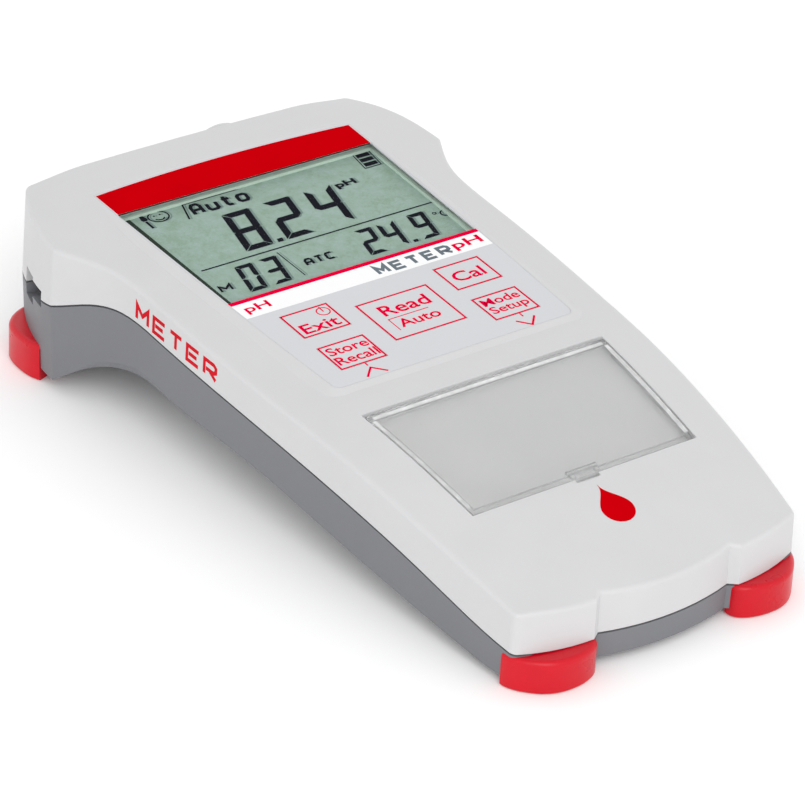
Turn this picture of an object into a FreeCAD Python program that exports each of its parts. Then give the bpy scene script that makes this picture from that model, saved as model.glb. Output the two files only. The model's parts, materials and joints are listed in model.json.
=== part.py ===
# Hand-held pH meter: housing, display, keypad, sockets, battery bay and note cover.
#
# Frame: +X to the right of the display text, +Y towards the socket end, +Z up, z = 0 on the table.
# The design is drawn about the housing's mid length, and every piece is then placed by -origin_y,
# which puts the row's origin under the middle of the whole object's box.
import FreeCAD
import Part
import math
import os

from FreeCAD import Placement, Rotation, Vector

doc = FreeCAD.newDocument("ph_meter")

# ---------------------------------------------------------------- driving dimensions
DIMENSIONS = {
    # frame
    "origin_y": 2.8,              # the box's middle, measured from the housing's mid length
    # housing
    "wall": 2.0,                  # side walls
    "roof": 1.8,                  # top wall
    "floor_wall": 2.0,            # underside wall
    "draft_deg": 1.5,             # side walls lean in above and below the parting line
    "arch_bevel_deg": 30.0,       # slanted faces under the waist
    "seam": 0.4,                  # groove between the two shells
    "shoulder_x": 26.5,           # the roof is flat across to here, then falls away
    "shoulder_fall_rear": 0.1,    # mm down per mm out, beyond the shoulder
    "shoulder_fall_front": 0.165,
    "shoulder_blend": 5.0,        # width of the blend into the shoulder
    "edge_round": 0.9,            # roof to side wall
    "rear_corner_r": 2.0,
    "waist_corner_r": 1.2,
    "nose_corner_r": 1.7,
    "boss_r": 3.2,                # case screw bosses
    "boss_proud": 0.4,            # socket bosses stand out of the rear wall
    # deck: the plane of the label, the display and the keys
    "deck_y": 13.3,
    "deck_z": 29.92,
    "deck_slope_deg": 4.03,
    "deck_bevel": 5.4,            # reach of the plateau's sloping rim, which dips into the roof
    "deck_bevel_drop": 2.1,
    "deck_dish": 2.8,             # reach of the slope from the roof down to the label's far edge
    "deck_dish_rise": 1.2,
    "film": 0.3,                  # thickness of the printed overlay
    # display
    "view_far_y": 54.4,
    "view_near_y": 19.1,
    "view_far_x": 29.15,
    "view_near_x": 28.05,
    "window_thick": 1.0,
    "lcd_depth": 1.9,
    "lcd_thick": 2.2,
    "frame_step": 1.65,           # the bezel widens to a rectangle below this depth
    "board_depth": 5.5,
    "board_thick": 1.6,
    # keys
    "key_gap": 0.1,
    "key_travel": 0.3,
    "key_stem_r": 2.0,
    # note pocket
    "note_far_y": -20.9,
    "note_near_y": -51.1,
    "note_far_x": 27.0,
    "note_near_x": 24.95,
    "note_depth": 2.3,
    "note_cover_thick": 1.2,
    "note_gap": 0.15,
    # battery bay, along the underside
    "bay_y": -35.0,
    "bay_z": 6.3,
    "bay_slope_deg": 8.6,
    "bay_length": 49.0,
    "bay_half_x": 22.3,
    "bay_height": 12.3,
    "cell_r": 5.15,
    "cell_length": 43.4,
    "cell_pitch": 11.0,
    "door_thick": 1.6,
    "door_ledge": 1.5,
    # sockets
    "socket_z": 21.6,
    "bnc_x": 8.0,
    "rca_x": -12.0,
    "bnc_barrel_r": 4.8,
    "bnc_reach": 7.6,
    "rca_barrel_r": 4.15,
    "rca_reach": 6.6,
    # feet
    "foot_front_top": 6.5,
    "foot_rear_top": 7.6,
    # fasteners
    "screw_head_r": 2.5,
    "screw_head": 1.8,
    "screw_shank_r": 1.25,
}


def make_sheet():
    """The spreadsheet that holds every driving dimension."""
    sheet = doc.addObject("Spreadsheet::Sheet", "Dims")
    for row, (alias, value) in enumerate(DIMENSIONS.items(), start=1):
        sheet.set("A%d" % row, alias)
        sheet.set("B%d" % row, str(value))
        sheet.setAlias("B%d" % row, alias)
    doc.recompute()
    return sheet


SHEET = make_sheet()


def dim(alias):
    """A driving dimension as a plain number."""
    return float(SHEET.get(alias))


# ---------------------------------------------------------------- placing
PIECES = []


def housing_place():
    """Housing frame to row frame."""
    return Placement(Vector(0, -dim("origin_y"), 0), Rotation())


def deck_place():
    """Deck frame to row frame: x, y along the label, z out of it, origin on the label."""
    tilt = Rotation(Vector(1, 0, 0), dim("deck_slope_deg"))
    return housing_place().multiply(Placement(Vector(0, dim("deck_y"), dim("deck_z")), tilt))


def bay_place():
    """Battery-bay frame to row frame: z = 0 on the underside, +Z into the bay."""
    tilt = Rotation(Vector(1, 0, 0), dim("bay_slope_deg"))
    return housing_place().multiply(Placement(Vector(0, dim("bay_y"), dim("bay_z")), tilt))


def piece(label, shape, place=None):
    """A sub-part whose Shape comes from Part's functions, drawn in the frame that place gives."""
    feature = doc.addObject("Part::Feature", label)
    feature.Label = label
    feature.Shape = shape
    feature.Placement = place or housing_place()
    PIECES.append(feature)
    return feature


# ---------------------------------------------------------------- housing curves
def spline(points):
    """One smooth edge through the points."""
    curve = Part.BSplineCurve()
    curve.interpolate([Vector(*p) for p in points])
    return curve


def roof_profile():
    """Mid-line of the roof outside the plateau, as (y, z) from the socket end to the nose."""
    return [(82, 32.8), (75, 33.35), (69, 33.7), (63, 33.65), (56, 32.95), (47, 32.05), (40, 31.5),
            (14, 29.6), (-10, 27.75), (-20.8, 26.9), (-36, 24.65), (-51.1, 21.4), (-63, 18.2),
            (-74, 14.75), (-82, 12.1)]


def parting_profile():
    """Seam between the shells in side view, as (y, z): low behind, humped at the waist, low at the nose."""
    return [(82, 14.6), (74, 15.0), (68, 16.6), (60, 17.6), (52.4, 18.8), (45.3, 21.35), (37, 22.7),
            (25.3, 22.1), (2.7, 20.2), (-24.7, 17.0), (-50.3, 12.1), (-71, 7.0), (-82, 6.2)]


def bevel_line():
    """Lower edge of the side walls in side view, as (y, z): it clears the underside only in the hand arch."""
    return [(82, -2.0), (60, -1.0), (52.6, 2.8), (46.1, 8.7), (39.4, 11.9), (31, 13.3), (22, 12.2),
            (8, 11.0), (-8, 9.3), (-40, 3.3), (-82, -3.0)]


def underside_profile():
    """Underside in side view, as (y, z), through the hand arch to where the straight slope begins."""
    return [(52.6, 2.8), (50.2, 4.6), (46.1, 7.4), (39.4, 10.0), (31, 11.2), (22, 11.4), (6.4, 11.2),
            (-8, 10.38)]


def profile_height(points, y):
    """Height of a side-view spline at y."""
    curve = spline([(0, p[0], p[1]) for p in points])
    first, last = curve.FirstParameter, curve.LastParameter
    for _ in range(40):
        middle = (first + last) / 2
        if curve.value(middle).y > y:
            first = middle
        else:
            last = middle
    return curve.value(first).z


def below_profile(points, lift=0.0, half_width=60.0, bottom=-20.0):
    """Everything below a side-view spline, as a solid across the full width."""
    top = [Vector(-half_width, y, z + lift) for y, z in points]
    curve = spline(top).toShape()
    corners = [top[-1], Vector(-half_width, top[-1].y, bottom), Vector(-half_width, top[0].y, bottom), top[0]]
    face = Part.Face(Part.Wire([curve] + Part.makePolygon(corners).Edges))
    return face.extrude(Vector(2 * half_width, 0, 0))


SHOULDER_REAR = 20.0     # the shoulder steepens between these two places
SHOULDER_FRONT = -25.0


def shoulder_drop(x, y):
    """How far the roof has fallen at x: nothing in the middle, a soft bend, then a straight slope."""
    blend = dim("shoulder_blend")
    out = abs(x) - dim("shoulder_x") + blend / 2
    share = min(1.0, max(0.0, (SHOULDER_REAR - y) / (SHOULDER_REAR - SHOULDER_FRONT)))
    fall = dim("shoulder_fall_rear") + share * (dim("shoulder_fall_front") - dim("shoulder_fall_rear"))
    if out <= 0:
        return 0.0
    if out < blend:
        return fall * out * out / (2 * blend)
    return fall * (out - blend / 2)


def below_roof(drop=0.0):
    """Everything below the roof surface, lowered by drop."""
    half = [0, 8, 16, 22, 25, 28, 31, 35, 40, 45, 50]
    across = [-x for x in reversed(half[1:])] + half
    profile = roof_profile()
    rows = [[Vector(x, y, z - shoulder_drop(x, y) - drop) for x in across] for y, z in profile]
    surface = Part.BSplineSurface()
    surface.interpolate(rows)
    return surface.toShape().extrude(Vector(0, 0, -60))


# ---------------------------------------------------------------- housing plan
REAR_ARC = 75.4          # middle of the socket end
REAR_CORNER = (37.5, 74.4)
FLANK_MID = (42.3, 65.2)
WAIST_CORNER = (44.95, 52.5)
WAIST = [WAIST_CORNER, (42.5, 48), (40.6, 44), (39.35, 40), (38.65, 34), (38.5, 24), (38.05, 4),
         (36.65, -20), (34.65, -44), (31.25, -72.05)]
NOSE_MID = (23.6, -74.4)
NOSE_STEP = (16.1, -75.15)
NOSE_NOTCH = (14.4, -74.0)
NOSE_CENTRE = -75.9


def plan_curves():
    """The housing's outline in plan at the seam, as a list of point runs; each run is one smooth edge."""
    def mirror(points):
        return [(-x, y) for x, y in reversed(points)]

    def arc(a, b, c, count=5):
        curve = Part.Arc(Vector(*a, 0), Vector(*b, 0), Vector(*c, 0)).toShape()
        return [(p.x, p.y) for p in curve.discretize(count)]

    rear = arc(mirror([REAR_CORNER])[0], (0, REAR_ARC), REAR_CORNER, 7)
    flank = arc(REAR_CORNER, FLANK_MID, WAIST_CORNER)
    nose_block = arc(WAIST[-1], NOSE_MID, NOSE_STEP)
    notch = [NOSE_STEP, NOSE_NOTCH]
    nose = arc(NOSE_NOTCH, (0, NOSE_CENTRE), mirror([NOSE_NOTCH])[0], 7)
    right = [flank, WAIST, nose_block, notch]
    left = [mirror(run) for run in reversed(right)]
    return [rear] + right + [nose] + left


HALF_WIDTH = 39.0        # the plan is drawn in by scaling it about these typical reaches
HALF_LENGTH = 74.5


def plan_wire(z, profile, rise, inset):
    """The outline at height z: drawn in by inset, and by rise for each mm above a side-view line."""
    heights = {}

    def place(x, y):
        if y not in heights:
            heights[y] = profile_height(profile, y)
        shrink = inset + rise * (z - heights[y])
        return Vector(x * (1 - shrink / HALF_WIDTH), y * (1 - shrink / HALF_LENGTH), z)

    edges = []
    for run in plan_curves():
        points = [place(x, y) for x, y in run]
        if len(points) == 2:
            edges.append(Part.makeLine(*points))
        else:
            edges.append(spline(points).toShape())
    return Part.Wire(edges)


def leaning_block(profile, rise, inset):
    """Solid inside leaning side walls, from below the table to above the roof."""
    return Part.makeLoft([plan_wire(z, profile, rise, inset) for z in (-3.0, 40.0)], True, True)


def wall_block(upper, inset=0.0):
    """Solid inside one shell's side walls, which lean in away from the seam."""
    rise = math.tan(math.radians(dim("draft_deg")))
    return leaning_block(parting_profile(), rise if upper else -rise, inset)


def arch_bevel_block():
    """Solid inside the slanted faces under the waist: it trims the walls below the bevel line only."""
    return leaning_block(bevel_line(), -math.tan(math.radians(dim("arch_bevel_deg"))), 0.0)


def vertical_edges(shape, corner, reach=1.2):
    """Edges of a wall block that run up one of the plan's corners, on both sides."""
    found = []
    for edge in shape.Edges:
        foot, top = edge.Vertexes[0].Point, edge.Vertexes[-1].Point
        middle = (foot + top) * 0.5
        upright = abs(foot.z - top.z) > 20
        if upright and abs(abs(middle.x) - corner[0]) < reach and abs(middle.y - corner[1]) < reach:
            found.append(edge)
    return found


def rounded_wall_block(upper):
    """Wall block with its plan corners rounded."""
    block = wall_block(upper)
    corners = {"rear_corner_r": REAR_CORNER, "waist_corner_r": WAIST_CORNER, "nose_corner_r": WAIST[-1]}
    for alias, corner in corners.items():
        block = block.makeFillet(dim(alias), vertical_edges(block, corner))
    return block


def on_line(points, y):
    """x on the straight line through two (x, y) points, at y."""
    (x0, y0), (x1, y1) = points
    return x0 + (x1 - x0) * (y - y0) / (y1 - y0)


def prism(points, low, high):
    """Upright solid over a plan polygon."""
    corners = [Vector(x, y, low) for x, y in points]
    return Part.Face(Part.makePolygon(corners + corners[:1])).extrude(Vector(0, 0, high - low))


def trapezoid(far, near, grow):
    """Corners of a symmetric trapezoid given by its far and near right corners, grown on every side."""
    far_y, near_y = far[1] + grow, near[1] - grow
    far_x = on_line((far, near), far_y) + grow
    near_x = on_line((far, near), near_y) + grow
    return [(-far_x, far_y), (far_x, far_y), (near_x, near_y), (-near_x, near_y)]


def box_between(low, high):
    """Box from its low corner to its high corner."""
    size = Vector(*high) - Vector(*low)
    return Part.makeBox(size.x, size.y, size.z, Vector(*low))


def post(x, y, low, high, radius):
    """Upright cylinder."""
    return Part.makeCylinder(radius, high - low, Vector(x, y, low))


def barrel(x, z, start, end, radius):
    """Cylinder along the sockets' axis, from y = start to y = end."""
    return Part.makeCylinder(radius, end - start, Vector(x, start, z), Vector(0, 1, 0))


def hexagon(x, z, start, end, across_flats):
    """Hexagonal nut blank along the sockets' axis."""
    corner = across_flats / math.sqrt(3)
    points = [Vector(x + corner * math.cos(k * math.pi / 3), start, z + corner * math.sin(k * math.pi / 3))
              for k in range(7)]
    return Part.Face(Part.makePolygon(points)).extrude(Vector(0, end - start, 0))


# ---------------------------------------------------------------- shared places
def deck_local_y(y):
    """Housing y to the deck frame's y."""
    return (y - dim("deck_y")) / math.cos(math.radians(dim("deck_slope_deg")))


def in_housing(shape, place):
    """A shape drawn in the deck or bay frame, moved into the housing frame."""
    moved = shape.copy()
    moved.Placement = housing_place().inverse().multiply(place).multiply(moved.Placement)
    return moved


def view_corners(grow):
    """The display's visible trapezoid, in the deck frame."""
    far = (dim("view_far_x"), deck_local_y(dim("view_far_y")))
    near = (dim("view_near_x"), deck_local_y(dim("view_near_y")))
    return trapezoid(far, near, grow)


def note_corners(grow):
    """The note pocket's plan, in the housing frame."""
    return trapezoid((dim("note_far_x"), dim("note_far_y")), (dim("note_near_x"), dim("note_near_y")), grow)


LABEL_FAR = (29.35, 62.3)
LABEL_MID = (28.35, 19.1)
LABEL_NEAR = (26.7, -12.95)
LABEL_FAR_BULGE = 1.3


def label_wire(grow, height):
    """Outline of the printed overlay in the deck frame, grown on every side."""
    far_x, far_y = LABEL_FAR[0] + grow, deck_local_y(LABEL_FAR[1]) + grow
    mid_x, mid_y = LABEL_MID[0] + grow, deck_local_y(LABEL_MID[1])
    near_x, near_y = LABEL_NEAR[0] + grow, deck_local_y(LABEL_NEAR[1]) - grow
    corner = 1.6 + grow
    bend = corner * (1 - math.sqrt(0.5))

    def at(x, y):
        return Vector(x, y, height)

    def arc(a, b, c):
        return Part.Arc(at(*a), at(*b), at(*c)).toShape()

    return Part.Wire([
        arc((-far_x, far_y), (0, far_y + LABEL_FAR_BULGE), (far_x, far_y)),
        arc((far_x, far_y), (mid_x, mid_y), (near_x, near_y + corner)),
        arc((near_x, near_y + corner), (near_x - bend, near_y + bend), (near_x - corner, near_y)),
        Part.makeLine(at(near_x - corner, near_y), at(corner - near_x, near_y)),
        arc((corner - near_x, near_y), (bend - near_x, near_y + bend), (-near_x, near_y + corner)),
        arc((-near_x, near_y + corner), (-mid_x, mid_y), (-far_x, far_y)),
    ])


def label_slab(grow, low, high):
    """Solid under the overlay's outline, in the deck frame."""
    return Part.Face(label_wire(grow, low)).extrude(Vector(0, 0, high - low))


# name: (centre x, low y, high y, width) of the printed key outlines, in the housing frame
KEYS = {
    "key_exit": (-17.2, 3.1, 11.1, 10.3),
    "key_store": (-17.3, -8.45, -0.65, 10.1),
    "key_read": (0.0, -5.2, 7.65, 16.0),
    "key_cal": (17.3, 3.1, 11.1, 10.3),
    "key_mode": (17.3, -8.45, -0.65, 10.1),
}


def key_rectangle(name, grow):
    """Low and high (x, y) of a key in the deck frame, grown on every side."""
    centre, low_y, high_y, width = KEYS[name]
    low = (centre - width / 2 - grow, deck_local_y(low_y) - grow)
    high = (centre + width / 2 + grow, deck_local_y(high_y) + grow)
    return low, high


def key_slab(name, grow, low, high):
    """Box over a key's outline, in the deck frame."""
    corner, opposite = key_rectangle(name, grow)
    return box_between((*corner, low), (*opposite, high))


# board screws, in the deck frame
BOARD_SCREWS = [(side * x, y) for x, y in ((31.5, 46.6), (31.6, -1.4), (31.0, -19.8)) for side in (-1, 1)]
# case screws, in the housing frame: x, y, height of the head's seat, height of the tip
CASE_SCREW_SITES = [(29.0, 67.0, 10.0, 25.0), (30.3, -22.0, 13.0, 23.0), (22.0, -66.2, 5.8, 13.0)]
CASE_SCREWS = [(side * site[0], *site[1:]) for site in CASE_SCREW_SITES for side in (-1, 1)]

# strap slots, in the housing frame: x, y, length, depth below the seam, height above it
STRAP_SLOTS = [(42.9, 63.3, 4.8, 2.6, 3.3), (44.0, 58.9, 4.8, 1.2, 2.2)]
FLANK_TURN = 21.0        # the flanks' turn from the Y axis


def strap_slots():
    """Cutters for the stepped strap slots through both flanks, at the seam."""
    cutters = []
    for x, y, length, below, above in STRAP_SLOTS:
        seam = profile_height(parting_profile(), y)
        for side in (-1, 1):
            block = Part.makeBox(6.0, length, below + above, Vector(-3.0, -length / 2, -below))
            block.rotate(Vector(0, 0, 0), Vector(0, 0, 1), side * FLANK_TURN)
            block.translate(Vector(side * x, y, seam))
            cutters.append(block)
    return cutters


# ---------------------------------------------------------------- top shell
def roof_outline_edges(shape):
    """Edges where the roof meets the side walls."""
    roof = max(shape.Faces, key=lambda face: face.Area if face.BoundBox.ZMax > 31 else 0)
    return roof.OuterWire.Edges


# socket bosses: which socket, radius, height of the boss's middle above the socket's
SOCKET_BOSSES = [("bnc_x", 7.4, 0.0), ("bnc_x", 8.0, 3.4), ("rca_x", 6.8, 0.0)]


def socket_face_y():
    """Outer face of the socket bosses."""
    return REAR_ARC + dim("boss_proud")


def plateau():
    """Raised pad under the label, bevelled all round, in the housing frame."""
    foot = label_wire(dim("deck_bevel"), -dim("deck_bevel_drop"))
    top = label_wire(0.35, 0)
    return in_housing(Part.makeLoft([foot, top], True, True), deck_place())


def dish():
    """Cutter for the slope that leads from the rear roof down to the label's far edge."""
    foot = label_wire(0.05, 0)
    top = label_wire(dim("deck_dish"), dim("deck_dish_rise"))
    return in_housing(Part.makeLoft([foot, top], True, True).common(box_between((-60, 40, -1), (60, 70, 3))),
                      deck_place())


NOTE_SLOTS = (-25.2, -48.4)


def note_pocket_tray():
    """Walls and floor round the note pocket."""
    block = prism(note_corners(1.1), 10, 40)
    return block.common(below_roof()).cut(below_roof(dim("note_depth") + 0.9))


def note_slots():
    """Cutters for the small slots in the pocket's side walls, two on each side."""
    far = (dim("note_far_x"), dim("note_far_y"))
    near = (dim("note_near_x"), dim("note_near_y"))
    band = below_roof(0.5).cut(below_roof(2.4))
    slots = []
    for y in NOTE_SLOTS:
        edge = on_line((far, near), y)
        for side in (-1, 1):
            block = box_between((-0.6, -1.2, 10), (0.6, 1.2, 40))
            block.translate(Vector(side * edge, y, 0))
            slots.append(block.common(band))
    return slots


def hinge_axis():
    """Point on the note cover's hinge line."""
    y = dim("note_far_y") - 1.3
    return Vector(0, y, profile_height(roof_profile(), y) - 1.1)


def hinge_pins(radius, reach):
    """Pins of the note cover at both ends of the hinge line."""
    axis = hinge_axis()
    half = dim("note_far_x") + reach
    return Part.makeCylinder(radius, 2 * half, Vector(-half, axis.y, axis.z), Vector(1, 0, 0))


def top_shell():
    """Upper housing: roof, plateau, key and display openings, note pocket, bosses and socket holes."""
    seam_cut = below_profile(parting_profile(), dim("seam") / 2)
    outer = rounded_wall_block(True).common(below_roof()).cut(seam_cut)
    outer = outer.makeFillet(dim("edge_round"), roof_outline_edges(outer))
    cavity = wall_block(True, dim("wall")).common(below_roof(dim("roof")))
    shell = outer.cut(cavity)

    additions = [plateau(), note_pocket_tray()]
    inside = wall_block(True, dim("wall") - 0.6).common(below_roof(dim("roof") - 0.6))
    for x, y, seat, tip in CASE_SCREWS:
        low = profile_height(parting_profile(), y) + dim("seam") / 2
        additions.append(post(x, y, low, 40, dim("boss_r")).common(inside))
    deck_depth = dim("board_depth")
    for x, y in BOARD_SCREWS:
        boss = in_housing(post(x, y, -deck_depth, 0, 2.4), deck_place())
        additions.append(boss.common(inside))
    for alias, radius, lift in SOCKET_BOSSES:
        boss = barrel(dim(alias), dim("socket_z") + lift, REAR_ARC - 1.9, socket_face_y(), radius)
        additions.append(boss.cut(below_profile(parting_profile(), 1.0)))
    shell = shell.fuse(additions)

    cuts = [in_housing(label_slab(0.05, -dim("film"), 2), deck_place()), dish()]
    cuts.append(in_housing(prism(view_corners(1.05), -6, -dim("film") + 0.01), deck_place()))
    low, high = lcd_corners(0.6)
    cuts.append(in_housing(box_between((*low, -9), (*high, -dim("frame_step") + 0.05)), deck_place()))
    cuts += [in_housing(key_slab(name, 0.25, -6, 1), deck_place()) for name in KEYS]
    cuts.append(prism(note_corners(0), 10, 40).cut(below_roof(dim("note_depth"))))
    nail = box_between((-2.6, dim("note_near_y") - 0.8, 10), (2.6, dim("note_near_y") + 0.5, 40))
    cuts.append(nail.cut(below_roof(1.8)))
    cuts += note_slots()
    cuts.append(hinge_pins(0.55, 1.0))
    for x, y in BOARD_SCREWS:
        cuts.append(in_housing(post(x, y, -deck_depth - 1, -2.6, 0.9), deck_place()))
    for x, y, seat, tip in CASE_SCREWS:
        cuts.append(post(x, y, 0, tip + 0.3, dim("screw_shank_r")))
    cuts.append(barrel(dim("bnc_x"), dim("socket_z"), 60, 90, dim("bnc_barrel_r") + 0.05))
    cuts.append(barrel(dim("rca_x"), dim("socket_z"), 60, 90, dim("rca_barrel_r") + 0.05))
    cuts += strap_slots()
    return shell.cut(cuts)


# ---------------------------------------------------------------- bottom shell
def underside_at(y):
    """Height of the sloping underside at y."""
    return dim("bay_z") + math.tan(math.radians(dim("bay_slope_deg"))) * (y - dim("bay_y"))


FLAT_FROM = -66.0        # the underside runs level from here to the nose


def below_underside(lift=0.0):
    """Everything below the underside, raised by lift."""
    arch = underside_profile()
    low = arch[0][1]
    nose = underside_at(FLAT_FROM)
    slope = [(FLAT_FROM, nose), (-80.0, nose)]
    at = [Vector(-60, y, z + lift) for y, z in arch]
    run = [at[-1]] + [Vector(-60, y, z + lift) for y, z in slope]
    run += [Vector(-60, slope[-1][0], -20), Vector(-60, 85, -20), Vector(-60, 85, low + lift), at[0]]
    wire = Part.Wire([spline(at).toShape()] + Part.makePolygon(run).Edges)
    return Part.Face(wire).extrude(Vector(120, 0, 0))


def bay_box(grow_x, grow_y, low, high):
    """Box in the bay frame, grown beyond the bay's own plan."""
    half_x, half_y = dim("bay_half_x") + grow_x, dim("bay_length") / 2 + grow_y
    return in_housing(box_between((-half_x, -half_y, low), (half_x, half_y, high)), bay_place())


def bottom_shell():
    """Lower housing: tray with the battery bay, screw posts, foot pockets and strap slots."""
    seam_top = below_profile(parting_profile(), -dim("seam") / 2)
    outer = rounded_wall_block(False).common(seam_top).common(arch_bevel_block()).cut(below_underside())
    cavity = wall_block(False, dim("wall")).cut(below_underside(dim("floor_wall")))
    shell = outer.cut(cavity)

    inside = wall_block(False, dim("wall") - 0.6).cut(below_underside(0.3))
    additions = [bay_box(2.6, 1.2, 0.4, dim("bay_height") + 0.8)]
    for x, y, seat, tip in CASE_SCREWS:
        high = profile_height(parting_profile(), y) - dim("seam") / 2
        additions.append(post(x, y, 0, high, dim("boss_r") + 0.5).common(inside))
    shell = shell.fuse(additions)

    ledge = dim("door_ledge")
    cuts = [bay_box(0, 0, -2, dim("bay_height")), bay_box(ledge, ledge, -2, dim("door_thick"))]
    for side in (-1, 1):
        slot = box_between((-1.5, 0, 11.9), (1.5, 4, 12.9))
        slot.translate(Vector(side * 1.5 * dim("cell_pitch"), dim("bay_length") / 2 - 0.5, 0))
        cuts.append(in_housing(slot, bay_place()))
    for x, y, seat, tip in CASE_SCREWS:
        cuts.append(post(x, y, -5, seat, dim("screw_head_r") + 0.35))
        cuts.append(post(x, y, seat - 1, 40, dim("screw_shank_r") + 0.2))
    cuts += list(feet().values())
    cuts += strap_slots()
    return shell.cut(cuts)


def case_gasket():
    """Rubber band in the groove between the shells."""
    seam = dim("seam") / 2
    band = below_profile(parting_profile(), seam).cut(below_profile(parting_profile(), -seam))
    ring = wall_block(True, 0.5).cut(wall_block(True, 1.7)).common(band)
    return ring.cut(strap_slots() + list(feet().values()))


# ---------------------------------------------------------------- feet
FRONT_FOOT = [(31.95, -69.9), (31.4, -72.0), (29.6, -74.5), (26.3, -77.0), (22.2, -77.8), (18.3, -77.2),
              (15.6, -75.5), (15.1, -73.3)]
FRONT_FOOT_ROOT = [(16.6, -71.6), (27.0, -68.4), (30.0, -69.2)]
REAR_FOOT = [(38.6, 72.7), (41.9, 71.1), (44.2, 68.5), (45.15, 65.2), (45.3, 61.9), (45.0, 59.4),
             (44.2, 57.5)]
REAR_FOOT_ROOT = [(41.0, 58.8), (36.8, 69.8)]
FOOT_BASE_ROUND = 0.5


def foot(side, outline, root, top, soft):
    """Rubber bumper on side 1 or -1: bulging outline, straight root inside the shell, rounded rim and base."""
    curve = [(side * x, y, 0) for x, y in outline][::side]
    bulge = spline(curve).toShape()
    back = [curve[-1]] + [(side * x, y, 0) for x, y in root][::side] + [curve[0]]
    line = Part.makePolygon([Vector(*point) for point in back])
    solid = Part.Face(Part.Wire([bulge] + line.Edges)).extrude(Vector(0, 0, top))
    curved = [edge for edge in solid.Edges if edge.Curve.TypeId == "Part::GeomBSplineCurve"]
    rim = [edge for edge in curved if edge.BoundBox.ZMin > top - 0.01]
    base = [edge for edge in curved if edge.BoundBox.ZMax < 0.01]
    return solid.makeFillet(soft, rim).makeFillet(FOOT_BASE_ROUND, base)


def feet():
    """The four bumpers by name."""
    made = {}
    for hand, side in (("right", 1), ("left", -1)):
        made["foot_front_" + hand] = foot(side, FRONT_FOOT, FRONT_FOOT_ROOT, dim("foot_front_top"), 0.9)
        made["foot_rear_" + hand] = foot(side, REAR_FOOT, REAR_FOOT_ROOT, dim("foot_rear_top"), 1.0)
    return made


# ---------------------------------------------------------------- bound primitives
def part_object(kind, label, place=None, **sizes):
    """A Part primitive whose sizes are expressions of the sheet."""
    made = doc.addObject("Part::" + kind, label)
    for size, expression in sizes.items():
        made.setExpression(size, expression)
    if place:
        made.Placement = place
    return made


def finished(made, label, place):
    """Mark a document object as a sub-part and give it its place in the row."""
    made.Label = label
    made.Placement = place
    PIECES.append(made)
    return made


def fused(label, shapes, place):
    """Fuse of bound primitives as one sub-part."""
    made = doc.addObject("Part::MultiFuse", label)
    made.Shapes = shapes
    return finished(made, label, place)


def at(x, y, z, axis=None, angle=0.0):
    """Placement from a point and an optional turn."""
    return Placement(Vector(x, y, z), Rotation(axis or Vector(0, 0, 1), angle))


ALONG_Y = (Vector(1, 0, 0), -90.0)


# ---------------------------------------------------------------- label, display, keys
def keypad_overlay():
    """Printed film on the deck, open over the display and round each key."""
    film = dim("film")
    sheet = label_slab(0, -film, 0)
    openings = [prism(view_corners(0), -1, 1)]
    openings += [key_slab(name, dim("key_gap"), -1, 1) for name in KEYS]
    piece("keypad_overlay", sheet.cut(openings), deck_place())


def display_window():
    """Clear window under the film's opening."""
    top = -dim("film")
    piece("display_window", prism(view_corners(1.0), top - dim("window_thick"), top), deck_place())


def lcd_frame():
    """Bezel between the window and the display glass, with a skirt that holds the glass."""
    top = -dim("film") - dim("window_thick")
    glass = -dim("lcd_depth")
    foot = -dim("board_depth") + 1.2
    rim = prism(view_corners(1.0), glass, top)
    low, high = lcd_corners(0.5)
    skirt = box_between((*low, foot), (*high, -dim("frame_step")))
    low, high = lcd_corners(0.05)
    pocket = box_between((*low, foot - 1), (*high, glass))
    piece("lcd_frame", rim.fuse(skirt).cut([pocket, prism(view_corners(0), foot - 1, 1)]), deck_place())


def lcd_corners(grow):
    """Low and high (x, y) of the display glass in the deck frame."""
    half = dim("view_far_x") + 0.3 + grow
    low_y = deck_local_y(dim("view_near_y")) - 0.7 - grow
    high_y = deck_local_y(dim("view_far_y")) + 0.7 + grow
    return (-half, low_y), (half, high_y)


def lcd_panel():
    """Display glass."""
    low, high = lcd_corners(0)
    length = "2 * (Dims.view_far_x + 0.3)"
    width = "(Dims.view_far_y - Dims.view_near_y) / cos(Dims.deck_slope_deg * 1 deg) + 1.4"
    glass = part_object("Box", "lcd_glass", Length=length, Width=width, Height="Dims.lcd_thick")
    place = deck_place().multiply(at(low[0], low[1], -dim("lcd_depth") - dim("lcd_thick")))
    finished(glass, "lcd_panel", place)


def lcd_connectors():
    """Two elastomer strips between the display glass and the board."""
    low, high = lcd_corners(0)
    top = -dim("lcd_depth") - dim("lcd_thick")
    strips = [box_between((-26, y, -dim("board_depth")), (26, y + 2.0, top))
              for y in (low[1] + 0.5, high[1] - 2.5)]
    piece("lcd_connectors", Part.makeCompound(strips), deck_place())


def key(name):
    """Key: its patch of film, the pusher under it and the stem over its dome."""
    low, high = key_rectangle(name, 0)
    film = dim("film")
    centre = ((low[0] + high[0]) / 2, (low[1] + high[1]) / 2)
    patch = part_object("Box", name + "_film", at(*low, -film), Length=str(high[0] - low[0]),
                        Width=str(high[1] - low[1]), Height="Dims.film")
    pusher = part_object("Box", name + "_pusher", at(low[0] + 0.6, low[1] + 0.6, -2.6),
                         Length=str(high[0] - low[0] - 1.2), Width=str(high[1] - low[1] - 1.2),
                         Height="2.6 - Dims.film")
    stem = part_object("Cylinder", name + "_stem", at(*centre, -dim("board_depth") + 1.15),
                       Radius="Dims.key_stem_r", Height="Dims.board_depth - 1.15 - 1.0")
    fused(name, [patch, pusher, stem], deck_place())


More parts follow.
